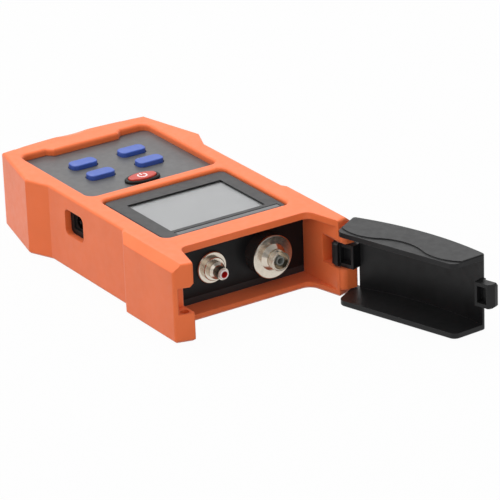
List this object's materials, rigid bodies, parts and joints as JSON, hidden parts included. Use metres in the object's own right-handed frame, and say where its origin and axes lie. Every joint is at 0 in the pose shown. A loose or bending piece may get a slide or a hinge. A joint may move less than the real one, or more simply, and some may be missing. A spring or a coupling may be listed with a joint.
{
  "type": "optical power meter",
  "caption": "Handheld optical power meter: a dark case in a moulded orange boot, with a screen, soft keys and a hinged cover over its fibre ports.",
  "frame": {"origin": "centre of the boot's flat back face, which the meter lies on, halfway between its tail and the nose line at the ends of its two legs", "axes": "+Z out of the keypad face, +Y from the nose towards the tail, +X to the right as the keypad is read with the nose nearest, towards the hinged end of the cover"},
  "size_m": [0.1012, 0.2134, 0.0322],
  "materials": {
    "boot_orange": "fine matte moulded soft plastic",
    "cover_black": "fine satin texture",
    "case_black": "fine matte texture",
    "panel_black": "satin",
    "overlay_grey": "fine-grained membrane",
    "key_blue": "satin soft keys",
    "key_red": "satin soft key",
    "ring_black": "semi-gloss",
    "bezel_dark": "satin printed frame",
    "lens_clear": "clear window",
    "display_grey": "reflective display",
    "board_green": "solder mask",
    "battery_wrap": "shrink wrap",
    "socket_black": "moulded",
    "switch_steel": "satin",
    "pin_steel": "ground",
    "screw_zinc": "zinc plated",
    "nickel": "polished nickel plate",
    "ceramic_white": "polished ceramic",
    "collar_black": "black anodised",
    "laser_brass": "turned",
    "detector_can": "plated can"
  },
  "bodies": {
    "root": {"protective_boot": "boot_orange", "hinge_pin": "pin_steel", "front_shell": "case_black", "rear_shell": "case_black", "case_screws": "screw_zinc", "connector_panel": "panel_black", "keypad_overlay": "overlay_grey", "power_key_ring": "ring_black", "screen_bezel": "bezel_dark", "screen_lens": "lens_clear", "screen_module": "display_grey", "main_board": "board_green", "battery_pack": "battery_wrap", "charge_jack": "socket_black", "key_switches": "switch_steel", "source_nut": "nickel", "source_barrel": "nickel", "source_sleeve": "ceramic_white", "laser_module": "laser_brass", "meter_collar": "collar_black", "meter_adapter": "nickel", "meter_sleeve": "ceramic_white", "detector": "detector_can"},
    "cover": {"port_cover": "cover_black"},
    "key_front_left_body": {"key_front_left": "key_blue"},
    "key_front_right_body": {"key_front_right": "key_blue"},
    "key_back_left_body": {"key_back_left": "key_blue"},
    "key_back_right_body": {"key_back_right": "key_blue"},
    "power_key_body": {"power_key": "key_red"}
  },
  "joints": [
    {"name": "cover_hinge", "type": "hinge", "parent": "root", "child": "cover", "pos_m": [0.0357, -0.0695, 0.0174], "axis": [0, 0, 1], "range_deg": [-106.9, 0]},
    {"name": "key_front_left_press", "type": "slide", "parent": "root", "child": "key_front_left_body", "axis": [0, 0, -1], "range_m": [0, 0.0008], "stiffness_N_per_m": 800, "springref_m": -0.0005},
    {"name": "key_front_right_press", "type": "slide", "parent": "root", "child": "key_front_right_body", "axis": [0, 0, -1], "range_m": [0, 0.0008], "stiffness_N_per_m": 800, "springref_m": -0.0005},
    {"name": "key_back_left_press", "type": "slide", "parent": "root", "child": "key_back_left_body", "axis": [0, 0, -1], "range_m": [0, 0.0008], "stiffness_N_per_m": 800, "springref_m": -0.0005},
    {"name": "key_back_right_press", "type": "slide", "parent": "root", "child": "key_back_right_body", "axis": [0, 0, -1], "range_m": [0, 0.0008], "stiffness_N_per_m": 800, "springref_m": -0.0005},
    {"name": "power_key_press", "type": "slide", "parent": "root", "child": "power_key_body", "axis": [0, 0, -1], "range_m": [0, 0.0008], "stiffness_N_per_m": 800, "springref_m": -0.0005}
  ]
}
